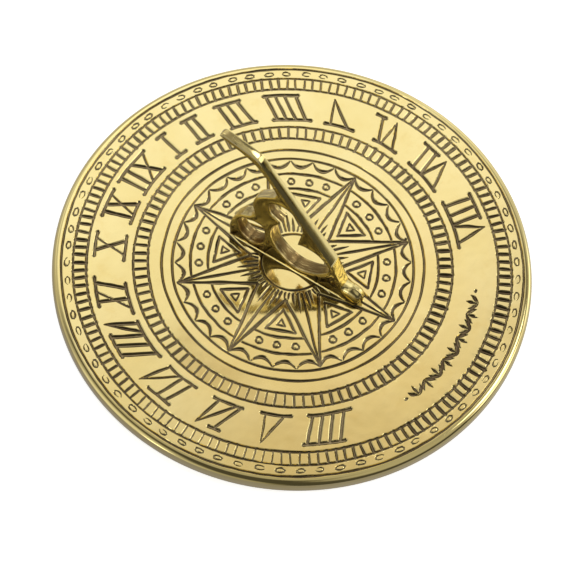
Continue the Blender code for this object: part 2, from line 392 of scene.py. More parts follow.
# For each numeral: the bearings of its outer serif, its strokes as (outer
# bearing, inner bearing, width) and the bearings of its inner serif.  A stroke
# with an outer radius as well runs to an apex instead of a serif.
NUMERALS = [
    ((-6.25, 7.5), [(-4.4, -4.4, THICK), (-1.25, -1.25, THICK),
                    (1.0, 5.5, THICK), (6.5, 0.25, THIN)], (-6.5, 7.0)),
    ((12.25, 16.25), [(14.4, 14.6, THICK)], (12.15, 17.4)),
    ((21.5, 27.4), [(23.25, 23.6, THICK), (25.75, 27.0, THICK)], (21.5, 29.0)),
    ((32.75, 41.75), [(34.5, 36.25, THICK), (37.25, 39.75, MID),
                      (40.4, 43.9, THICK)], (35.0, 45.25)),
    ((48.25, 59.75), [(49.5, 52.25, THICK), (52.25, 55.5, MID),
                      (55.0, 58.75, MID), (58.5, 62.25, THICK)], (50.25, 64.5)),
    (None, [(70.4, 71.0, THIN, APEX), (70.4, 77.25, MID, APEX)], (68.5, 79.9)),
    ((83.5, 87.5), [(86.0, 89.25, MID), (90.6, 90.2, THIN, APEX),
                    (90.6, 95.0, MID, APEX)], (86.75, 97.0)),
    ((100.75, 107.5), [(103.0, 104.5, THICK), (106.0, 108.5, THICK),
                       (110.0, 109.0, MID, APEX),
                       (110.0, 115.75, MID, APEX)], (102.2, 117.4)),
    ((122.2, 131.75), [(124.0, 124.0, THICK), (127.0, 128.0, THICK),
                       (130.15, 131.5, THICK), (134.5, 132.25, MID, APEX),
                       (134.5, 138.75, MID, APEX)], (121.6, 141.1)),
    ((222.9, 235.5), [(224.75, 221.0, THICK), (227.75, 224.75, THICK),
                      (230.75, 228.25, THICK), (234.0, 231.5, THICK)],
     (218.25, 233.4)),
    (None, [(246.9, 240.75, MID, APEX), (246.9, 246.9, THIN, APEX)],
     (238.0, 248.9)),
    ((258.25, 262.5), [(260.5, 255.0, MID), (265.9, 256.75, MID, APEX),
                       (265.9, 262.75, MID, APEX)], (254.0, 265.25)),
    ((274.25, 283.0), [(276.5, 273.0, MID), (279.25, 277.0, MID),
                       (286.1, 278.0, THIN, APEX),
                       (286.1, 283.0, MID, APEX)], (271.0, 283.5)),
    ((294.0, 302.5), [(295.0, 289.5, THICK), (298.25, 293.5, THICK),
                      (301.25, 297.5, THICK), (305.75, 299.0, MID, APEX),
                      (305.75, 302.5, THICK, APEX)], (287.5, 303.5)),
    ((311.25, 321.75), [(313.25, 312.25, THICK), (316.75, 308.5, THIN),
                        (319.5, 316.25, THICK)], (306.0, 318.5)),
    ((328.0, 336.75), [(330.25, 334.5, THICK), (334.5, 329.0, THIN)],
     (326.5, 336.75)),
    ((341.5, 351.75), [(343.5, 343.75, THICK), (345.75, 349.5, THICK),
                       (349.5, 345.0, THIN)], (341.0, 350.75)),
]


def engrave_numerals():
    for outer_serif, strokes, inner_serif in NUMERALS:
        for outer, inner, width, *apex in strokes:
            top_r, top_end = (apex[0], 0.45) if apex else (STROKE_OUTER, 0.95)
            engrave(ray(outer, top_r, inner, STROKE_INNER),
                    width * by_bearing(inner, STROKE_WEAR), depth=0.70,
                    ends=(top_end, 0.95), wander=0.10, wavelength=16, step=1.6,
                    ragged=0.06)
        for serif, r in ((outer_serif, SERIF_OUTER), (inner_serif, SERIF_INNER)):
            if serif:
                engrave(along(serif[0] + 0.45, serif[1] - 0.45, r, 12),
                        2.25 * by_bearing(serif[0], SERIF_WEAR), depth=0.66,
                        swell=0.17, wander=0.14, wavelength=20, step=1.4,
                        ragged=0.05)


# ------------------------------------------------------ garland, scallops
GARLAND_START, GARLAND_SPAN = 158.5, 41.0  # bearings, between the two VIIIs
GARLAND_R, STEM_SWING = 0.768, 0.0175
SPRIGS = 9                                 # one in each half wave of the stem
# Leaves of a sprig: (bearing of the tip, its radial reach, width)
LEAVES = ((-2.5, 0.036, 2.5), (2.5, 0.036, 2.5), (0.0, 0.050, 2.3))

SCALLOPS = 32
SCALLOP_R = 0.5000


def engrave_garland():
    """A plain waving stem with leaves, and a dot beyond each end."""
    k = np.linspace(0, 1, 90)
    stem = GARLAND_R + STEM_SWING * np.sin(k * TAU * (SPRIGS / 2))
    engrave(at(GARLAND_START + GARLAND_SPAN * k, stem), 1.55, ends=(0.3, 0.3),
            wander=0.05, step=1.25)
    for i in range(SPRIGS):
        centre = GARLAND_START + GARLAND_SPAN * ((i + 0.5) / SPRIGS)
        out = 1 if i % 2 else -1
        base = GARLAND_R - out * STEM_SWING
        for turn, reach, width in LEAVES:
            path = np.vstack([at(centre + turn * 0.1, base + out * 0.006),
                              at(centre + turn * 0.75, base + out * reach * 0.55),
                              at(centre + turn, base + out * reach)])
            engrave(flowing(path, 5), width, ends=(0.25, 0.12), wander=0.03,
                    step=0.8, ragged=0.04, least=6)
    for t in (156.6, 201.4):
        engrave(ray(t - 0.25, GARLAND_R, t + 0.25, GARLAND_R, 3), 1.9,
                depth=0.5, wander=0.0, step=1.0, least=2)


def engrave_scallops():
    pitch = 360 / SCALLOPS
    for i in range(SCALLOPS):
        t0 = i * pitch + rng.uniform(-0.3, 0.3)
        t1 = (i + 1) * pitch + rng.uniform(-0.3, 0.3)
        k = np.linspace(0.03, 0.97, 17)
        sag = rng.uniform(0.037, 0.042)
        lean = rng.uniform(-0.12, 0.12)
        skewed = k + lean * k * (1 - k)
        r = SCALLOP_R - sag * np.sin(np.pi * skewed) ** 0.66
        engrave(at(t0 + (t1 - t0) * k, r), 2.5, depth=0.62, ends=(0.35, 0.35),
                wander=0.08, step=1.2)


# ------------------------------------------------------------------- star
POINTS = 8
POINT_PITCH = 360 / POINTS
STAR_TIP_R = 0.492
STAR_NOTCH_R = 0.180
STAR_CORE_R = 0.150            # rays and spines start here
HUB_RING_R = 0.1335
# Rays beside a spine: (bearing from it, outer radius)
STAR_RAYS = ((-13.5, 0.208), (-6.7, 0.238), (6.7, 0.238), (13.5, 0.208))
# Arcs between two points: (radius, bearing left free beside each spine)
FIELD_ARCS = ((0.4290, 3.0), (0.3560, 6.3))
FIELD_CIRCLES_R = 0.392
# Nested triangles between two points: (corners as (bearing, radius), width, depth)
FIELD_TRIANGLES = (
    (((-11.4, 0.3320), (10.6, 0.3300), (0.4, 0.2265)), 1.95, 0.6),
    (((-3.4, 0.3035), (3.4, 0.3025), (0.2, 0.2720)), 1.3, 0.45))


def engrave_star_point(spine):
    tip = at(spine + rng.uniform(-0.25, 0.25), STAR_TIP_R)[0]
    for side in (-1, 1):
        foot = at(spine + side * 22.2 + rng.uniform(-0.4, 0.4), STAR_NOTCH_R)[0]
        engrave(line(foot, tip, 12), 2.15, ends=(0.9, 0.5), wander=0.12,
                wavelength=22, step=1.8)
    core = at(spine + rng.uniform(-1, 1), STAR_CORE_R)[0]
    engrave(line(core, tip, 12), 1.85, ends=(0.6, 0.45), wander=0.10,
            wavelength=26, step=1.8)
    for offset, outer in STAR_RAYS:
        t = offset + rng.uniform(-0.8, 0.8)
        engrave(ray(spine + t, STAR_CORE_R, spine + t * 0.86,
                    outer + rng.uniform(-0.012, 0.012)), 1.7,
                depth=0.55, ends=(1.0, 0.2), wander=0.06, step=1.6)


def engrave_star_field(spine):
    """Arcs, circles and triangles between this point and the next."""
    middle = spine + POINT_PITCH / 2
    for r, trim in FIELD_ARCS:
        engrave(along(spine + trim, spine + POINT_PITCH - trim, r), 1.9,
                ends=(0.7, 0.7), wander=0.12, step=1.5)
    for offset in (-11.25, 0.0, 11.25):
        centre = at(middle + offset + rng.uniform(-0.4, 0.4),
                    FIELD_CIRCLES_R + rng.uniform(-0.001, 0.001))[0]
        engrave(circle(rng.uniform(1.72, 1.88), 16, *centre), 1.4, depth=0.52,
                closed=True, wander=0.08, wavelength=5, step=1.1, ragged=0.14)
    for corners, width, depth in FIELD_TRIANGLES:
        pts = [at(middle + t + rng.uniform(-0.3, 0.3), r)[0] for t, r in corners]
        for a, b in ((0, 1), (1, 2), (2, 0)):
            engrave(line(pts[a], pts[b], 8), width, depth=depth,
                    ends=(0.85, 0.85), wander=0.07, step=1.7)


def engrave_star():
    for i in range(POINTS):
        engrave_star_point(i * POINT_PITCH)
        engrave_star_field(i * POINT_PITCH)
    # short strokes in the notches between the points
    for i in range(POINTS):
        middle = (i + 0.5) * POINT_PITCH
        for offset in (-3.2, 3.2):
            engrave(ray(middle + offset, STAR_CORE_R, middle + offset * 0.8, 0.178),
                    1.4, depth=0.45, ends=(1.0, 0.4), wander=0.04, step=1.4)
    CUTS.append(Ring(HUB_RING_R * LAYOUT_R, 1.35, step=1.4, wander=0.10))
    # a stray punch mark beside one point
    engrave(ray(133.2, 0.487, 133.5, 0.489, 3), 1.7, depth=0.7, wander=0.0,
            step=0.5, least=2)


# ============================================================== the dial mesh
FACE_SPACING = 5.5             # between loose points on the open brass
WEB_SPACING = 9.0

# Dull patches on the -X side: (band, inset from its edges, strength, arc)
STAINS = ((INNER_SCALE, 0.004, 0.62, ((0, 195, 235, 252, 280, 292, 360),
                                      (0, 0, 0.45, 1, 1, 0, 0))),
          (PLAIN_BAND, 0.004, 0.52, ((0, 248, 264, 286, 302, 360),
                                     (0, 0, 1, 1, 0, 0))))


def spread(start, stop, spacing):
    """Concentric circles of evenly spaced points."""
    return np.vstack([circle(r, max(6, int(TAU * r / spacing)))
                      for r in np.arange(start, stop, spacing)])


def triangulate_face():
    """Vertices (n,2) and triangles of the face, with the screw holes open."""
    loops = [row for cut in CUTS for row in cut.rows()]
    loops.append((circle(FLAT_R, RIM_STEPS), True))
    loops += [(circle(HOLE_R, HOLE_STEPS, 0, y), True) for y in SCREW_Y]
    edges = []
    count = 0
    for loop, closed in loops:
        edges += loop_edges(count, len(loop), closed)
        count += len(loop)
    # the loose points keep any triangle from being very long
    points = np.vstack([loop for loop, _ in loops] + [spread(5, 122, FACE_SPACING)])
    res = geometry.delaunay_2d_cdt([Vector((float(x), float(y))) for x, y in points],
                                   edges, [], 0, 1e-4, False)
    verts = np.array([(v.x, v.y) for v in res[0]])
    faces = np.array([tuple(f) for f in res[2] if len(f) == 3])
    centre = verts[faces].mean(1)
    drop = np.zeros(len(faces), bool)
    for y in SCREW_Y:
        drop |= np.hypot(centre[:, 0], centre[:, 1] - y) < HOLE_R * 0.985
    return verts, faces[~drop]


def carve(verts, bearing):
    """Depth, groove (0 lip .. 1 middle) and darkness of the cuts at each vertex: their
    tarnish, with painted shade by bearing.
    """
    groove = np.zeros(len(verts))
    darkness = np.zeros(len(verts))
    depth = np.zeros(len(verts))
    for cut in CUTS:
        idx, g = cut.relief(verts)
        if len(idx):
            # darkness of the cut: its tarnish times painted shade by bearing
            darkness[idx] = np.where(g >= groove[idx],
                                cut.darkness * by_bearing(bearing[idx], cut.tarnish_and_shade),
                                darkness[idx])
            groove[idx] = np.maximum(groove[idx], g)
            # a steep wall, then a slightly hollow floor
            wall = np.clip(g / 0.5, 0, 1)
            hollow = (1 - (1 - g) ** 2) * (g > 0)
            depth[idx] = np.maximum(depth[idx],
                                    cut.depth * (0.90 * wall + 0.10 * hollow))
    return depth, groove, darkness


def stain_of(verts, bearing):
    radius = np.hypot(verts[:, 0], verts[:, 1]) / LAYOUT_R
    stain = np.zeros(len(verts))
    for (inner, outer), inset, strength, arc in STAINS:
        stain += strength * by_bearing(bearing, arc) \
            * ((radius > inner + inset) & (radius < outer - inset))
    return stain


def add_face(bm):
    verts, faces = triangulate_face()
    bearing = np.degrees(np.arctan2(verts[:, 0], verts[:, 1]))
    depth, groove, darkness = carve(verts, bearing)
    values = {"groove": groove, "darkness": darkness, "stain": stain_of(verts, bearing)}
    for name in values:
        bm.verts.layers.float.new(name)
    top = [bm.verts.new((x * MM, y * MM, (RIM_H - d) * MM))
           for (x, y), d in zip(verts, depth)]
    for name, numbers in values.items():
        layer = bm.verts.layers.float[name]
        for v, number in zip(top, numbers):
            v[layer] = number
    for f in faces:
        try:
            bm.faces.new([top[i] for i in f])
        except ValueError:
            pass            # the triangulation may repeat a triangle
    loose = [v for v in bm.verts if not v.link_faces]
    bmesh.ops.delete(bm, geom=loose, context='VERTS')
    bmesh.ops.recalc_face_normals(bm, faces=bm.faces[:])
    if sum(f.normal.z for f in bm.faces) < 0:
        bmesh.ops.reverse_faces(bm, faces=bm.faces[:])


def boundary_ring(bm, cy, r, tolerance):
    """Open-edge vertices on a circle about (0, cy), in order around it."""
    verts = {v for e in bm.edges if e.is_boundary
             and abs(math.hypot(e.verts[0].co.x / MM,
                                e.verts[0].co.y / MM - cy) - r) < tolerance
             for v in e.verts}
    return sorted(verts, key=lambda v: math.atan2(v.co.x / MM, v.co.y / MM - cy))


def arc(centre_r, centre_z, r, degrees):
    return [(centre_r + r * math.cos(a), centre_z + r * math.sin(a))
            for a in map(math.radians, degrees)]


def rim_profile():
    """(radius, z) from the edge of the face around to the web's underside."""
    profile = arc(FLAT_R, RIM_H - RIM_ROUND, RIM_ROUND, np.linspace(90, 0, 11)[1:])
    profile += arc(RIM_R - FOOT_ROUND, FOOT_ROUND, FOOT_ROUND, np.linspace(0, -90, 8))
    # across the foot ring and up the wall of the hollow
    profile += [(122.0, 0.0), (119.0, 0.0), (116.4, 0.0), (115.9, 0.15),
                (115.5, 0.5), (115.3, 1.2), (115.1, 2.2),
                (HOLLOW_R, WEB_Z - COVE_R)]
    profile += arc(HOLLOW_R - COVE_R, WEB_Z - COVE_R, COVE_R,
                   np.linspace(0, 90, 5)[1:])
    return profile


def turn_rim(bm):
    """Turn the rim profile about Z and return its last loop of vertices."""
    prev = boundary_ring(bm, 0, FLAT_R, 0.05)
    angles = [math.atan2(v.co.x, v.co.y) for v in prev]
    for r, z in rim_profile():
        cur = [bm.verts.new((r * MM * math.sin(a), r * MM * math.cos(a), z * MM))
               for a in angles]
        for i, j in loop_edges(0, len(cur)):
            bm.faces.new((prev[i], cur[i], cur[j], prev[j]))
        prev = cur
    return prev


def line_holes(bm):
    """Wall the screw holes and return their lower loops."""
    lower = []
    for upper in [boundary_ring(bm, y, HOLE_R, 0.06) for y in SCREW_Y]:
        low = [bm.verts.new((v.co.x, v.co.y, WEB_Z * MM)) for v in upper]
        for i, j in loop_edges(0, len(upper)):
            bm.faces.new((upper[j], low[j], low[i], upper[i]))
        lower.append(low)
    return lower


def close_web(bm, outer, holes):
    """Fill the underside of the web between its outer loop and the holes."""
    points, edges, owners = [], [], []
    for loop in [outer] + holes:
        edges += loop_edges(len(points), len(loop))
        points += [(v.co.x / MM, v.co.y / MM) for v in loop]
        owners += loop
    for x, y in spread(8, 110, WEB_SPACING):
        if all(math.hypot(x, y - hole_y) > HOLE_R + 1.0 for hole_y in SCREW_Y):
            points.append((x, y))
            owners.append(bm.verts.new((x * MM, y * MM, WEB_Z * MM)))
    res = geometry.delaunay_2d_cdt([Vector(p) for p in points], edges,
                                   [], 0, 1e-5, True)
    back = [owners[src[0]] if src else None for src in res[3]]
    hole_sets = [set(low) for low in holes]
    for f in res[2]:
        vs = [back[i] for i in f]
        if None in vs or any(all(v in hole for v in vs) for hole in hole_sets):
            continue
        bm.faces.new(vs)


def build_dial():
    bm = bmesh.new()
    add_face(bm)
    outer = turn_rim(bm)
    close_web(bm, outer, line_holes(bm))
    bmesh.ops.recalc_face_normals(bm, faces=bm.faces[:])
    me = bpy.data.meshes.new("dial_casting")
    bm.to_mesh(me)
    bm.free()
    me.shade_smooth()
    return me


# ============================================================ the gnomon mesh
# Outlines as (y, height above GNOMON_Z).  The outer one runs up the front
# lug, the facet and the style, around the finial and down the rear lobes.
FRONT_LUG = [(-42.2, 0.0), (-42.8, 2.8), (-41.8, 6.0), (-39.4, 8.1),
             (-36.0, 8.9), (-33.2, 8.8), (-31.4, 8.6)]
FACET_TOP = (-24.3, 23.7)
STYLE_FOOT = (-23.9, 24.4)
FINIAL = [(22.6, 81.1), (24.6, 82.75), (27.5, 83.9), (31.0, 84.9), (37.0, 86.4),
          (43.0, 87.7), (45.6, 87.6), (46.9, 86.7), (46.6, 85.5),
          (45.0, 84.9), (38.8, 82.8), (31.8, 80.6), (26.1, 78.1),
          (22.5, 75.0), (19.6, 72.3), (16.0, 68.3), (13.3, 64.6),
          (11.9, 61.2)]
REAR_LOBES = [(11.9, 61.2), (13.2, 58.8), (16.7, 55.8), (20.3, 52.5), (23.4, 48.7),
              (25.0, 44.3), (25.2, 39.2), (24.3, 35.6), (23.9, 33.0),
              (24.9, 30.3), (27.6, 27.4), (31.3, 24.8), (34.7, 19.9),
              (36.8, 15.4), (38.1, 8.5), (37.8, 3.0), (37.6, 0.0)]
# The large opening is these two together
UPPER_LOBE = [(-2.88, 25.7), (-3.1, 28.8), (-3.9, 34.5), (-4.6, 38.7),
              (-4.6, 41.5), (-3.9, 45.0), (-1.1, 49.0), (2.4, 51.8),
              (6.6, 52.9), (10.1, 52.4), (13.3, 50.9), (15.2, 48.3),
              (15.5, 45.7), (14.3, 42.2), (12.2, 40.2), (7.7, 38.1)]
LOWER_BOWL = [(7.7, 38.1), (9.1, 34.5), (11.5, 31.0), (12.8, 27.4), (13.2, 23.2),
              (12.2, 17.9), (9.8, 13.0), (5.9, 8.4), (1.0, 4.8),
              (-3.9, 3.5), (-9.6, 4.8), (-15.2, 7.9), (-19.4, 11.6),
              (-21.9, 15.8), (-22.4, 19.3), (-21.0, 22.3), (-17.3, 25.4),
              (-13.8, 27.1), (-8.2, 27.6), (-4.9, 26.9), (-2.88, 25.7)]
# The small opening
TEARDROP = [(19.3, 24.4), (25.6, 24.2), (29.8, 22.4), (32.1, 19.4),
            (32.8, 16.0), (31.9, 10.6), (29.6, 6.5), (24.9, 4.2),
            (20.2, 6.0), (17.4, 9.9), (16.6, 15.5), (17.4, 21.6)]
# (loop, corner): corners that stay sharp when the loops are resampled
CORNERS = ((0, FRONT_LUG[-1]), (0, REAR_LOBES[-1]), (0, FRONT_LUG[0]),
           (1, UPPER_LOBE[-1]), (1, UPPER_LOBE[0]))

GNOMON_Z = RIM_H + 0.3
GNOMON_TOP = 87.78             # the finial is cut off level here
FOOT_DIP = 0.27                # the foot reaches this far below GNOMON_Z
FOOT_HALF = 4.28               # half thickness at GNOMON_Z
DRAFT = 0.0214                 # half thickness lost per mm of height
CURVE_STEPS = 6
OUTLINE_STEP = 0.55
INSETS = (0.24, 0.45, 0.72, 1.05, 1.5, 2.2, 3.1)    # rows of points along the edges
GRID = 1.3
ACROSS = 8                     # faces across the thickness


def gnomon_loops():
    """The outer outline and the two openings, evenly resampled."""
    outer = np.vstack([flowing(FRONT_LUG, CURVE_STEPS), [FACET_TOP, STYLE_FOOT],
                       flowing(FINIAL, CURVE_STEPS)[:-1],
                       flowing(REAR_LOBES, CURVE_STEPS)])
    large = np.vstack([flowing(UPPER_LOBE, CURVE_STEPS)[:-1],
                       flowing(LOWER_BOWL, CURVE_STEPS)[:-1]])
    small = flowing(TEARDROP, CURVE_STEPS, closed=True)
    loops = [resample(loop, OUTLINE_STEP, True)[0] for loop in (outer, large, small)]
    for which, corner in CORNERS:
        loop = loops[which]
        loop[np.hypot(*(loop - np.array(corner)).T).argmin()] = corner
    height = loops[0][:, 1]
    loops[0][:, 1] = np.minimum(np.where(height < 0.02, -FOOT_DIP, height), GNOMON_TOP)
    return loops


def inside(q, loops):
    """Which points q lie in the casting, by the even-odd rule."""
    result = np.zeros(len(q), bool)
    for loop in loops:
        x0, y0 = loop.T
        x1, y1 = np.roll(loop, -1, 0).T
        for i in range(len(loop)):
            if y0[i] == y1[i]:
                continue
            result ^= ((y0[i] > q[:, 1]) != (y1[i] > q[:, 1])) & \
                (q[:, 0] < (x1[i] - x0[i]) * (q[:, 1] - y0[i])
                 / (y1[i] - y0[i]) + x0[i])
    return result


def nearest(points, a, b):
    """Distance of each point to the nearest of the segments a-b."""
    return np.concatenate([seg_distance(points[i:i + 2000], a, b)[0].min(1)
                           for i in range(0, len(points), 2000)])


def inner_points(loops, a, b):
    """Points in the casting: rows along its edges, and a grid between them."""
    rows = []                  # (y, height, clearance wanted from the edges)
    for loop in loops:
        normal = left_normals(unit_rows(np.roll(loop, -1, 0) - np.roll(loop, 1, 0)))
        for inset in INSETS:
            for side in (1, -1):
                q = loop + normal * side * inset
                if inset > 1.2:
                    q = q[::2]
                rows.append(np.column_stack([q, np.full(len(q), inset)]))
    gy, gz = np.meshgrid(np.arange(-42, 47, GRID), np.arange(0.6, 87, GRID))
    rows.append(np.column_stack([gy.ravel(), gz.ravel(), np.full(gy.size, 0.9)]))
    points = np.vstack(rows)
    points = points[inside(points[:, :2], loops)]
    points = points[nearest(points[:, :2], a, b) > points[:, 2] * 0.93]
    # thin out points that crowd one another
    cell = np.round(points[:, :2] / 0.16).astype(int)
    _, first = np.unique(cell, axis=0, return_index=True)
    return points[np.sort(first), :2]


def depth_below_style(verts):
    """Distance of points in from the line of the style."""
    foot = np.array(STYLE_FOOT)
    run = np.array(FINIAL[0]) - foot
    run = run / np.hypot(*run)
    return (verts - foot) @ np.array([run[1], -run[0]])


def half_thickness(verts, edge_distance, style_depth):
    y, height = verts.T
    # the edge is crisp along the style, fuller on the scrolls and almost half
    # round on the front lug
    crisp = 1 - fade(style_depth, 1.0, 2.2)
    crisp = np.where(height > 62, 1.0, crisp)
    lug = fade(y, -30.6, -1.2) * fade(height, 10, -1.5)
    tip = fade(height, 79, 3.0)
    round_width = 1.9 * (1 - crisp) + (0.55 + 0.65 * tip) * crisp
    round_height = 0.95 * (1 - crisp) + (0.45 + 0.25 * tip) * crisp
    round_width = round_width * (1 - lug) + 3.7 * lug
    round_height = round_height * (1 - lug) + 3.55 * lug
    k = 1 - np.clip(edge_distance / round_width, 0, 1)
    drop = round_height * (1 - np.sqrt(np.maximum(1 - k * k, 0)))
    # the casting flares into a small fillet where it meets the dial
    above_foot = np.maximum(height + FOOT_DIP, 0)
    drop -= 0.48 * np.clip(1 - above_foot / 0.72, 0, 1) ** 2 * (1 - 0.6 * lug)
    # the middle of the wider webs is dished a little
    dish = 0.30 * fade(edge_distance, 2.0, 2.0) * (1 - crisp) * (1 - lug)
    return np.maximum(FOOT_HALF - DRAFT * height - drop - dish, 0.35)


def filed_strength(verts, outer_count, style_depth):
    """How far each edge is left from the file: the openings fully, the rear
    scrolls and the end of the finial in part, the style not at all."""
    y, height = verts.T
    is_outer = np.arange(len(verts)) < outer_count
    filed = np.where(is_outer, 0.0, 1.0)
    rear = is_outer & (height < 79) & (style_depth > 6) & (y > 5)
    filed = np.where(rear, 0.72, filed)
    finial_end = fade(y, 33.0, 5.0) * (height > 84.5)
    return np.maximum(filed, 0.55 * finial_end)


def build_gnomon():
    loops = gnomon_loops()
    a = np.vstack(loops)
    b = np.vstack([np.roll(loop, -1, 0) for loop in loops])
    edges = []
    count = 0
    for loop in loops:
        edges += loop_edges(count, len(loop))
        count += len(loop)
    points = np.vstack([a, inner_points(loops, a, b)])
    res = geometry.delaunay_2d_cdt([Vector((float(y), float(z))) for y, z in points],
                                   edges, [], 0, 1e-5, True)
    verts = np.array([(v.x, v.y) for v in res[0]])
    faces = np.array([f for f in res[2] if len(f) == 3])
    faces = faces[inside(verts[faces].mean(1), loops)]

    # the flat foot is no edge to be rounded
    edge = ~((a[:, 1] < 0.0) & (b[:, 1] < 0.0))
    style_depth = depth_below_style(verts)
    half = half_thickness(verts, nearest(verts, a[edge], b[edge]), style_depth)

    bm = bmesh.new()
    layer = bm.verts.layers.float.new("filed")

    def vert(i, across):
        y, z = verts[i]
        return bm.verts.new((half[i] * across * MM, y * MM, (GNOMON_Z + z) * MM))

    pos = [vert(i, 1) for i in range(len(verts))]      # the +X side
    neg = [vert(i, -1) for i in range(len(verts))]
    for f in faces:
        bm.faces.new([pos[i] for i in f])
        bm.faces.new([neg[i] for i in reversed(f)])
    bm.verts.index_update()
    seam = [e for e in bm.edges if e.is_boundary and e.verts[0].index < len(pos)]

    # rows of vertices across the thickness, joined into the edge faces
    filed = filed_strength(verts, len(loops[0]), style_depth)
    chains = {}
    for seam_vert in {v for e in seam for v in e.verts}:
        i = seam_vert.index
        row = [pos[i]]
        for s in range(1, ACROSS):
            v = vert(i, 1 - 2 * s / ACROSS)
            v[layer] = filed[i]
            row.append(v)
        row.append(neg[i])
        chains[i] = row
    for i, row in chains.items():
        row[0][layer] = row[-1][layer] = 0.6 * filed[i]
    for e in seam:
        row_a, row_b = (chains[v.index] for v in e.verts)
        for s in range(ACROSS):
            bm.faces.new((row_a[s], row_b[s], row_b[s + 1], row_a[s + 1]))
    bmesh.ops.recalc_face_normals(bm, faces=bm.faces[:])

    # crown the edge strips very slightly, so they catch light unevenly
    for i, row in chains.items():
        mid = row[len(row) // 2]
        normal = Vector((0, mid.normal.y, mid.normal.z))
        if mid.co.z / MM < GNOMON_Z or normal.length < 0.3:
            continue
        normal.normalize()
        on_style = fade(verts[i, 1], 79, -4) if style_depth[i] < 1.2 else 0.0
        for s in range(ACROSS + 1):
            t = (1 - 2 * s / ACROSS) ** 2
            fall = 0.13 * t + on_style * 0.17 * (t - 1)
            if len(loops[0]) <= i < len(a):
                fall = 0.34 * t ** 0.8      # the openings keep a soft middle ridge
            row[s].co -= normal * fall * MM

    me = bpy.data.meshes.new("gnomon_casting")
    bmesh.ops.recalc_face_normals(bm, faces=bm.faces[:])
    bm.to_mesh(me)
    bm.free()
    return me


# ================================================================= materials
BRASS = (0.84, 0.690, 0.285)
BRASS_DEEP = (0.78, 0.570, 0.180)
BRASS_PALE = (0.87, 0.730, 0.330)
BRASS_STAINED = (0.56, 0.425, 0.155)
BRASS_FILED = (0.205, 0.134, 0.050)
# dark brown for the painted shade in crevices, and for the darker foot of the gnomon
DARKENING_BROWN = (0.20, 0.125, 0.045)
PATINA = (0.060, 0.040, 0.020)
TARNISH = (0.50, 0.400, 0.205)
TARNISH_OLD = (0.115, 0.082, 0.045)
CAST_LIGHT = (0.52, 0.375, 0.15)
CAST_DARK = (0.38, 0.265, 0.105)
CAST_PIT = (0.24, 0.165, 0.07)


class Graph:
    """Short calls for building a node tree."""

    def __init__(self, tree):
        self.tree = tree

    def add(self, kind, inputs=None, **settings):
        node = self.tree.nodes.new(kind)
        for name, value in settings.items():
            setattr(node, name, value)
        for key, value in (inputs or {}).items():
            self.plug(value, node.inputs[key])
        return node

    def plug(self, value, socket):
        """Link an output to a socket, or set a plain value on it."""
        if isinstance(value, bpy.types.NodeSocket):
            self.tree.links.new(value, socket)
        else:
            socket.default_value = value

    def source(self, kind, output):
        return self.add(kind).outputs[output]

    def attribute(self, name):
        return self.add("ShaderNodeAttribute", attribute_name=name).outputs["Fac"]

    def math(self, operation, a, b, clamp=False):
        return self.add("ShaderNodeMath", {0: a, 1: b}, operation=operation,
                        use_clamp=clamp).outputs[0]

    def scaled(self, value, by):
        return self.math('MULTIPLY', value, by)

    def swing(self, noise, by):
        """A noise centred on zero and scaled."""
        return self.scaled(self.math('SUBTRACT', noise, 0.5), by)

    def vector(self, operation, a, b, second=1, output="Vector"):
        return self.add("ShaderNodeVectorMath", {0: a, second: b},
                        operation=operation).outputs[output]

    def dot(self, a, b):
        return self.vector('DOT_PRODUCT', a, b, output="Value")

    def scaled_vector(self, a, by):
        return self.vector('SCALE', a, by, second="Scale")

    def noise(self, coords, scale, detail, rough=0.5):
        return self.add("ShaderNodeTexNoise",
                        {"Scale": scale, "Detail": detail, "Roughness": rough,
                         "Vector": coords}).outputs["Fac"]

    def stretched(self, coords, **mapping):
        return self.add("ShaderNodeMapping", {"Vector": coords, **mapping}).outputs[0]

    def smooth(self, x, over, to=(0.0, 1.0)):
        """Smooth step as x runs over one range, giving the other."""
        return self.add("ShaderNodeMapRange",
                        {1: over[0], 2: over[1], 3: to[0], 4: to[1], 0: x},
                        interpolation_type='SMOOTHSTEP').outputs[0]

    def mix(self, factor, a, b):
        a, b = ((*c, 1.0) if isinstance(c, tuple) else c for c in (a, b))
        return self.add("ShaderNodeMix", {0: factor, 6: a, 7: b},
                        data_type='RGBA').outputs[2]

    def bump(self, height, strength, distance, normal=None):
        inputs = {"Strength": strength, "Distance": distance, "Height": height}
        if normal is not None:
            inputs["Normal"] = normal
        return self.add("ShaderNodeBump", inputs).outputs[0]


class Surface(Graph):
    """A material and its Principled shader."""

    def __init__(self, name):
        self.material = bpy.data.materials.new(name)
        self.material.use_nodes = True
        super().__init__(self.material.node_tree)
        self.bsdf = self.tree.nodes["Principled BSDF"]

    def shade(self, inputs):
        for name, value in inputs.items():
            self.plug(value, self.bsdf.inputs[name])


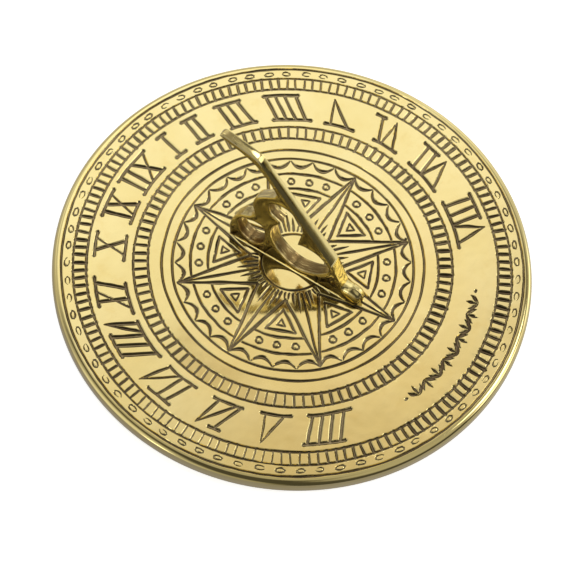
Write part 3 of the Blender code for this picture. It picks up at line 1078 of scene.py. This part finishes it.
class Brass(Surface):
    """Polished brass with deeper patches, fine scratches and soft dents.

    base_rough is its roughness at its cleanest, deep_patches the strength
    of its deeper coloured patches.
    """

    def __init__(self, name, base_rough, deep_patches):
        super().__init__(name)
        self.coords = self.source("ShaderNodeTexCoord", "Object")
        self.broad = self.noise(self.coords, scale=26.0, detail=3.0)
        self.cloud = self.noise(self.coords, scale=95.0, detail=4.0, rough=0.6)
        self.grain = self.noise(self.coords, scale=1500.0, detail=2.0, rough=0.6)
        # long fine polishing scratches in two directions
        scratches = []
        for turn, along_scale in ((0.35, 60.0), (1.9, 45.0)):
            stretched = self.stretched(self.coords, Rotation=(0.2, 0.1, turn),
                                       Scale=(along_scale, 2600.0, 300.0))
            noise = self.noise(stretched, scale=1.0, detail=2.0, rough=0.7)
            scratches.append(self.smooth(noise, over=(0.60, 0.78)))
        self.scratch = self.math('MAXIMUM', *scratches)

        self.colour = self.mix(self.smooth(self.broad, over=(0.35, 0.7)),
                               BRASS, BRASS_PALE)
        self.colour = self.mix(self.scaled(self.smooth(self.cloud, over=(0.5, 0.8)),
                                           by=deep_patches), self.colour, BRASS_DEEP)
        self.rough = base_rough
        self.roughen(self.scaled(self.smooth(self.cloud, over=(0.3, 0.8)), by=0.035))
        self.roughen(self.scaled(self.scratch, by=0.06))
        self.roughen(self.scaled(self.grain, by=0.02))
        self.file_marks = None

    def roughen(self, amount, clamp=False):
        self.rough = self.math('ADD', self.rough, amount, clamp)

    def tint(self, factor, colour):
        self.colour = self.mix(factor, self.colour, colour)

    def tarnish_cuts(self):
        """Stained bands, and tarnish in the engraving with painted shade by bearing."""
        stain = self.math('MULTIPLY', self.attribute("stain"),
                          self.smooth(self.cloud, over=(0.25, 0.65), to=(0.7, 1.0)))
        self.tint(stain, BRASS_STAINED)
        # 0 at the lip of a cut, over its wall, to 1 at its middle
        groove = self.attribute("groove")
        ripple = self.math('ADD', self.swing(self.cloud, by=0.30),
                           self.swing(self.grain, by=0.20))
        inside_lip = self.smooth(groove, over=(0.0, 0.1))
        speck = self.math('ADD', groove, self.math('MULTIPLY', ripple, inside_lip))
        dark = self.smooth(speck, over=(0.10, 0.42))
        # the corners of a cut are dark, its walls and floor only tarnished
        corner = self.math('MULTIPLY', self.smooth(speck, over=(0.30, 0.46)),
                           self.smooth(speck, over=(0.52, 0.78), to=(1.0, 0.0)))
        # tarnish, with painted shade by bearing, darkens the cut
        darkness = self.math('ADD', self.scaled(self.attribute("darkness"), by=0.80),
                        self.swing(self.cloud, by=0.5), clamp=True)
        tone = self.mix(darkness, TARNISH, TARNISH_OLD)
        tone = self.mix(self.scaled(corner, by=0.85), tone, PATINA)
        self.tint(dark, tone)
        self.roughen(self.scaled(dark, by=0.10), clamp=True)

    def file_edges(self):
        """Fine strokes around the edges that were filed, not buffed."""
        filed = self.attribute("filed")
        stretched = self.stretched(self.coords, Scale=(2400.0, 150.0, 150.0))
        strokes = self.noise(stretched, scale=1.0, detail=3.0, rough=0.65)
        self.roughen(self.math('MULTIPLY', filed, self.smooth(
            strokes, over=(0.48, 0.66), to=(0.30, 0.06))), clamp=True)
        self.tint(self.math('MULTIPLY', filed, self.smooth(
            strokes, over=(0.53, 0.67), to=(0.96, 0.0))), BRASS_FILED)
        self.file_marks = self.math('MULTIPLY', filed, strokes)

    def darken_foot(self):
        """Darker low on the gnomon, behind (+Y of) the lug; ranges in metres."""
        xyz = self.add("ShaderNodeSeparateXYZ", {0: self.coords})
        y, z = xyz.outputs[1], xyz.outputs[2]
        low = self.math('MULTIPLY', self.smooth(z, over=(0.0098, 0.0102)),
                        self.smooth(z, over=(0.0115, 0.0235), to=(1.0, 0.0)))
        low = self.math('MULTIPLY', low, self.smooth(y, over=(-0.034, -0.027)))
        low = self.math('MULTIPLY', low, self.smooth(self.cloud, over=(0.30, 0.62),
                                                     to=(0.45, 0.85)))
        self.tint(low, DARKENING_BROWN)

    def paint_crevice_shade(self, strength):
        # painted shade: ambient occlusion darkens the colour in crevices and where parts
        # meet, and raises the roughness there
        crevice = self.add("ShaderNodeAmbientOcclusion", {"Distance": 0.004}, samples=6)
        crevice = self.smooth(crevice.outputs["AO"], over=(0.15, 0.70), to=(1.0, 0.0))
        crevice = self.scaled(crevice, by=strength)
        self.tint(crevice, DARKENING_BROWN)
        self.roughen(self.scaled(crevice, by=0.25), clamp=True)

    def finish(self):
        """Stack the bumps, wire the shader and return the material."""
        normal = self.bump(self.broad, strength=0.26, distance=0.0009)
        normal = self.bump(self.cloud, strength=0.10, distance=0.00022, normal=normal)
        normal = self.bump(self.grain, strength=0.12, distance=0.00003, normal=normal)
        normal = self.bump(self.scratch, strength=0.25, distance=0.00001, normal=normal)
        if self.file_marks is not None:
            normal = self.bump(self.file_marks, strength=0.5, distance=0.00012,
                               normal=normal)
        self.shade({"Base Color": self.colour, "Roughness": self.rough,
                    "Metallic": 1.0, "Normal": normal})
        return self.material


def engraved_brass():
    m = Brass("polished_brass_engraved", base_rough=0.045, deep_patches=0.35)
    m.tarnish_cuts()
    return m.finish()


def cast_brass():
    """The sand-cast, unpolished brass of the hollow underside."""
    m = Surface("sand_cast_brass")
    coords = m.source("ShaderNodeTexCoord", "Object")
    sand = m.noise(coords, scale=900.0, detail=5.0, rough=0.65)
    lump = m.noise(coords, scale=120.0, detail=4.0, rough=0.55)
    blot = m.noise(coords, scale=38.0, detail=4.0, rough=0.6)
    colour = m.mix(m.smooth(blot, over=(0.35, 0.7)), CAST_LIGHT, CAST_DARK)
    colour = m.mix(m.smooth(sand, over=(0.55, 0.75)), colour, CAST_PIT)
    rough = m.math('ADD', 0.42, m.scaled(sand, by=0.25))
    normal = m.bump(lump, strength=0.5, distance=0.0004)
    normal = m.bump(sand, strength=0.7, distance=0.00018, normal=normal)
    m.shade({"Base Color": colour, "Metallic": 0.9, "Roughness": rough,
             "Normal": normal})
    return m.material


def gnomon_brass():
    m = Brass("polished_brass_gnomon", base_rough=0.07, deep_patches=0.50)
    m.file_edges()
    m.darken_foot()
    m.paint_crevice_shade(strength=0.6)
    return m.finish()


def screw_brass():
    m = Brass("turned_brass_screw", base_rough=0.22, deep_patches=0.60)
    m.paint_crevice_shade(strength=0.5)
    return m.finish()


# ==================================================================== pieces
def place(name, me, mats):
    ob = bpy.data.objects.new(name, me)
    bpy.context.scene.collection.objects.link(ob)
    for mat in mats:
        me.materials.append(mat)
    return ob


def place_dial(face_material, back_material):
    dial = place("dial_casting", build_dial(), [face_material, back_material])
    for poly in dial.data.polygons:
        c = poly.center
        if c.z < (WEB_Z + 0.05) * MM and math.hypot(c.x, c.y) < 116.9 * MM:
            poly.material_index = 1        # the hollow underside
    weighted = dial.modifiers.new("weighted normals", 'WEIGHTED_NORMAL')
    weighted.mode = 'FACE_AREA'
    weighted.weight = 60
    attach(dial, "root")
    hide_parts("dial_plate")


def place_gnomon(material):
    gnomon = place("gnomon_casting", build_gnomon(), [material])
    gnomon.data.shade_smooth()
    gnomon.data.set_sharp_from_angle(angle=math.radians(42))
    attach(gnomon, "root")
    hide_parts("gnomon")


def dress_fastenings(material):
    for name in ("gnomon_screw_front", "gnomon_screw_rear",
                 "gnomon_washer_front", "gnomon_washer_rear"):
        ob = bpy.data.objects.get(name)
        if ob:              # the CAD model may lack one
            for slot in ob.material_slots:
                slot.material = material


# ============================================================ floor and light
def floor_material():
    m = Surface("studio_floor")
    seen = m.source("ShaderNodeLightPath", "Is Camera Ray")
    base = m.mix(seen, (0.02, 0.02, 0.02), (0.86, 0.86, 0.86))
    # what the metal sees of the floor: lit on the +X side, dim towards -X
    position = m.source("ShaderNodeNewGeometry", "Position")
    lit = m.smooth(m.dot(position, (0.97, 0.10, 0.0)), over=(-0.16, 0.26))
    glow = m.mix(lit, (0.285, 0.285, 0.36), (0.90, 0.90, 0.92))
    emission = m.mix(seen, glow, (0.78, 0.78, 0.775))
    m.shade({"Roughness": 0.9, "Specular IOR Level": 0.0, "Base Color": base,
             "Emission Color": emission, "Emission Strength": 1.0})
    return m.material


def build_floor():
    bm = bmesh.new()
    bmesh.ops.create_grid(bm, x_segments=2, y_segments=2, size=6.0)
    me = bpy.data.meshes.new("studio_floor")
    bm.to_mesh(me)
    bm.free()
    place("studio_floor", me, [floor_material()])


AMBIENT = 0.075
# Lamps and bright walls of the room: (direction, full inside this many
# degrees, gone outside this many, brightness)
LAMPS = [
    ((0.50, 0.42, 0.757), 3.0, 26.0, 0.76),     # soft box over the far side
    ((0.25, 0.12, 0.96), 16.0, 30.0, 0.38),     # its spill overhead
    ((0.85, 0.43, 0.30), 15.0, 45.0, 0.50),     # bright wall beyond the dial
    ((0.93, -0.20, 0.25), 15.0, 38.0, 0.45),
    ((0.24, 0.76, 0.60), 12.0, 27.0, 0.50),
    ((0.74, -0.67, 0.04), 8.0, 32.0, 0.42),     # grey card, low at +X -Y
    ((0.44, -0.80, 0.41), 8.0, 17.0, 1.55),     # what the foot facet sees
    ((-0.86, 0.45, 0.25), 12.0, 38.0, 0.42),    # wall on the -X side
    ((-0.62, 0.62, 0.44), 14.0, 38.0, 0.36),    # and the rest of the room, softly
    ((0.02, 0.97, 0.15), 8.0, 34.0, 0.42),
    ((0.00, -0.62, 0.78), 14.0, 31.0, 0.40),
    ((-0.97, -0.20, 0.14), 6.0, 24.0, 0.30),
    ((-0.945, 0.25, 0.21), 2.0, 8.0, 1.80),     # strip lamp, lights the base fillet
    ((0.80, -0.57, 0.17), 5.0, 17.0, 0.80),     # low lamp, for glints in the cuts
    ((0.458, -0.42, 0.785), 7.0, 14.5, 3.40),   # small lamp over the style
]
# Coloured cards and flags added to the lamps: (direction, full inside, gone
# outside, colour).  A negative colour takes light away.
CARDS = [
    ((0.47, 0.10, 0.875), 1.0, 8.0, (0.11, 0.08, 0.09)),
    ((0.33, 0.22, 0.92), 1.0, 8.0, (-0.07, -0.11, -0.13)),
    ((0.40, 0.16, 0.90), 1.0, 6.0, (0.0, -0.045, -0.11)),
    ((0.50, 0.30, 0.80), 1.0, 9.0, (-0.085, -0.085, -0.01)),
    ((0.458, -0.865, 0.20), 7.5, 11.0, (-0.25, -0.26, -0.31)),
]
ROOM_WARM = (1.0, 0.96, 0.86)              # tone of the dim parts of the room
ROOM_WHITE = (1.0, 1.0, 1.0)
ROOM_LEAST = (0.02, 0.02, 0.02)
BACKDROP = (0.985, 0.985, 0.98)


def build_world():
    world = bpy.data.worlds.new("studio")
    bpy.context.scene.world = world
    world.use_nodes = True
    world.node_tree.nodes.clear()
    g = Graph(world.node_tree)
    output = g.add("ShaderNodeOutputWorld")
    background = g.add("ShaderNodeBackground")
    g.plug(background.outputs[0], output.inputs[0])
    direction = g.source("ShaderNodeTexCoord", "Generated")

    def cone(axis, full, gone, strength):
        return g.smooth(g.dot(direction, Vector(axis).normalized()),
                        over=(math.cos(math.radians(gone)),
                              math.cos(math.radians(full))),
                        to=(0.0, strength))

    total = AMBIENT
    for lamp in LAMPS:
        total = g.math('ADD', total, cone(*lamp))
    # the dim parts of the room are warmer than the lamps
    bright = g.add("ShaderNodeMapRange",
                   {"Value": total, "From Min": 0.05, "From Max": 0.9}).outputs[0]
    light = g.scaled_vector(g.mix(bright, ROOM_WARM, ROOM_WHITE), by=total)
    for axis, full, gone, colour in CARDS:
        card = g.scaled_vector(colour, by=cone(axis, full, gone, 1.0))
        light = g.vector('ADD', light, card)
    light = g.vector('MAXIMUM', light, ROOM_LEAST)
    # looked at directly, the room is a plain pale backdrop
    seen = g.source("ShaderNodeLightPath", "Is Camera Ray")
    g.plug(g.mix(seen, light, BACKDROP), background.inputs["Color"])


# Camera place (metres), line of sight and rough upward direction
EYE = Vector((-0.45863, -0.23347, 0.94326))
SIGHT = Vector((0.422114, 0.215352, -0.880592))
UPWARD = Vector((0.733702, 0.489370, 0.471379))


def build_camera():
    data = bpy.data.cameras.new("camera")
    camera = bpy.data.objects.new("camera", data)
    bpy.context.scene.collection.objects.link(camera)
    forward = SIGHT.normalized()
    right = forward.cross(UPWARD).normalized()
    up = right.cross(forward).normalized()
    pose = Matrix((right, up, -forward)).transposed().to_4x4()
    pose.translation = EYE
    camera.matrix_world = pose
    data.sensor_fit = 'HORIZONTAL'
    data.sensor_width = 36.0
    data.lens = 125.27
    data.clip_start = 0.01
    data.clip_end = 50.0
    bpy.context.scene.camera = camera
    bpy.context.scene.view_settings.view_transform = 'Standard'


# ================================================================== assembly
dial_face = engraved_brass()
dial_back = cast_brass()
gnomon_metal = gnomon_brass()
screw_metal = screw_brass()

# the order fixes the random draws
engrave_rings()
engrave_scales()
engrave_ovals()
engrave_numerals()
engrave_garland()
engrave_scallops()
engrave_star()

place_dial(dial_face, dial_back)
place_gnomon(gnomon_metal)
dress_fastenings(screw_metal)
build_floor()
build_world()
build_camera()
